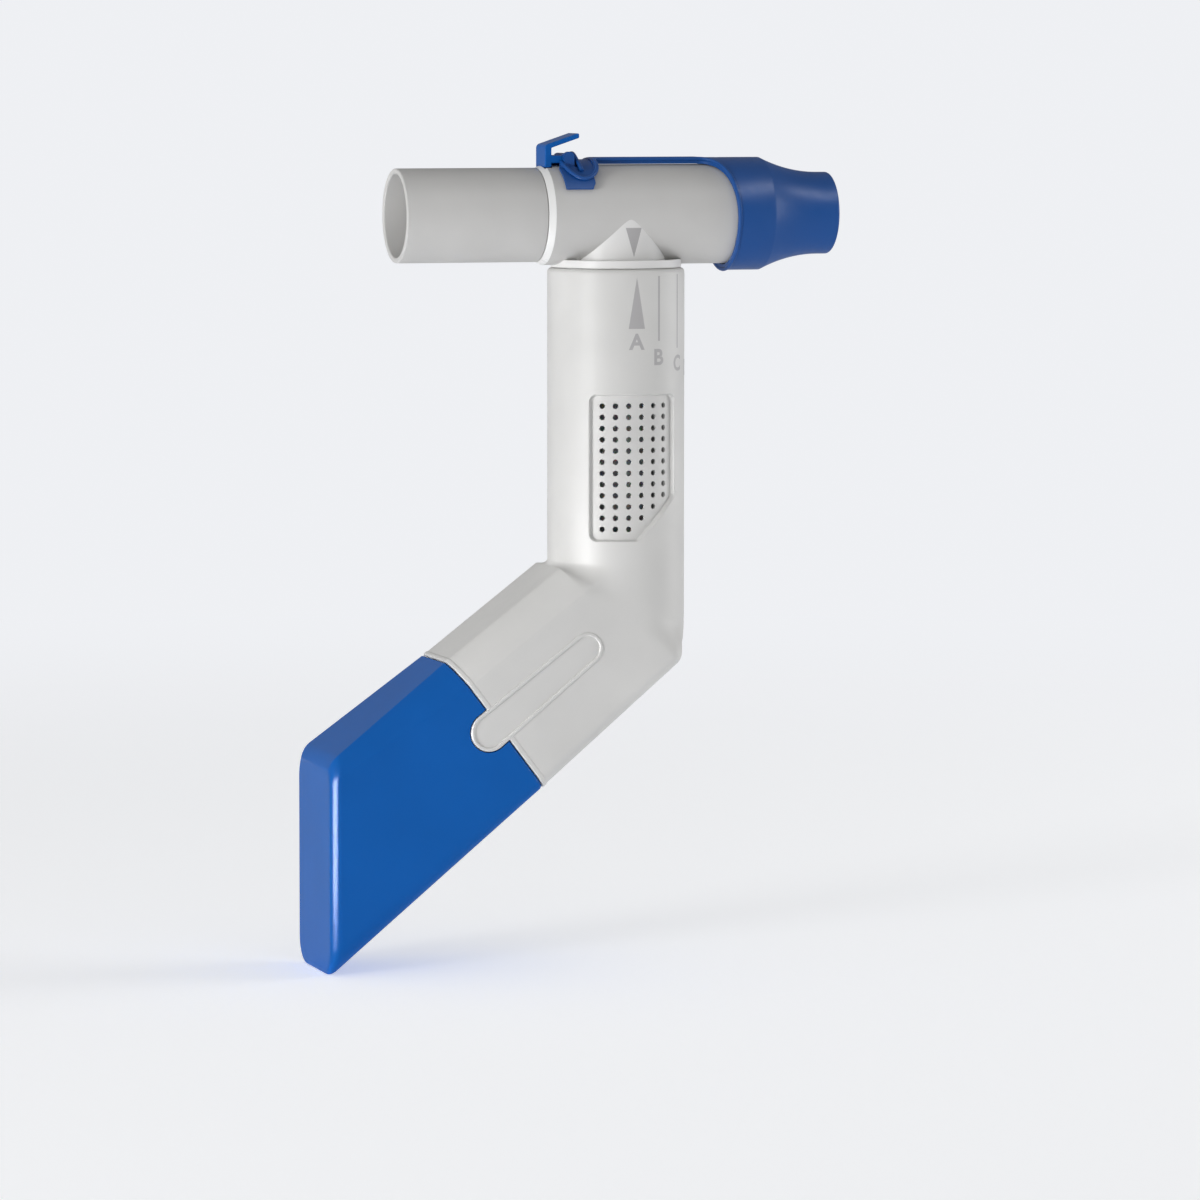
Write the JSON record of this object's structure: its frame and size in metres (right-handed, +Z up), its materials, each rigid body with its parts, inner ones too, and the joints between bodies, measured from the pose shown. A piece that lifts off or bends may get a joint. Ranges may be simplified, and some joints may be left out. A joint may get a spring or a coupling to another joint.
{
  "type": "oscillating positive expiratory pressure device",
  "caption": "Hand-held breathing therapy device: level breathing tube with latched mouthpiece, swivelling on a perforated neck and sloping leg with a pull-off end cap and a flutter hose inside.",
  "frame": {"origin": "middle of the footprint, at the lowest point of the end cap", "axes": "+Z up the swivel axis, +X along the breathing tube towards the mouthpiece, -Y the front with the setting scale"},
  "size_m": [0.1432, 0.0366, 0.2207],
  "materials": {
    "white_plastic": "fine satin",
    "blue_plastic": "gloss",
    "clear_silicone": "milky, soft",
    "grey_seal": "dull"
  },
  "bodies": {
    "housing": {"housing": "white_plastic", "valve_hose": "clear_silicone", "swivel_friction_ring": "grey_seal"},
    "tee": {"tee_body": "white_plastic", "swivel_retaining_ring": "white_plastic", "hose_adapter": "blue_plastic", "hose_clamp": "white_plastic", "inhalation_valve_seat": "white_plastic", "mouthpiece": "blue_plastic"},
    "nebuliser": {"nebuliser_tube": "white_plastic", "nebuliser_seal": "grey_seal"},
    "flap": {"inhalation_flap": "clear_silicone"},
    "lever": {"release_lever": "blue_plastic"},
    "cap": {"end_cap": "blue_plastic"}
  },
  "joints": [
    {"name": "tee_swivel", "type": "hinge", "parent": "housing", "child": "tee", "pos_m": [0.012, 0, 0.185], "axis": [0, 0, 1], "range_deg": [0, 67.5]},
    {"name": "release_lever_pivot", "type": "hinge", "parent": "tee", "child": "lever", "pos_m": [-0.003, 0, 0.2142], "axis": [0, 1, 0], "range_deg": [0, 14], "stiffness_Nm_per_rad": 0.02},
    {"name": "end_cap_pull", "type": "slide", "parent": "housing", "child": "cap", "axis": [-0.7965, 0, -0.6046], "range_m": [0, 0.03]},
    {"name": "inhalation_flap_hinge", "type": "hinge", "parent": "tee", "child": "flap", "pos_m": [0.0024, 0, 0.2089], "axis": [0, -1, 0], "range_deg": [0, 40], "stiffness_Nm_per_rad": 0.0002},
    {"name": "nebuliser_tube_pull", "type": "slide", "parent": "tee", "child": "nebuliser", "axis": [-1, 0, 0], "range_m": [0, 0.02]}
  ]
}
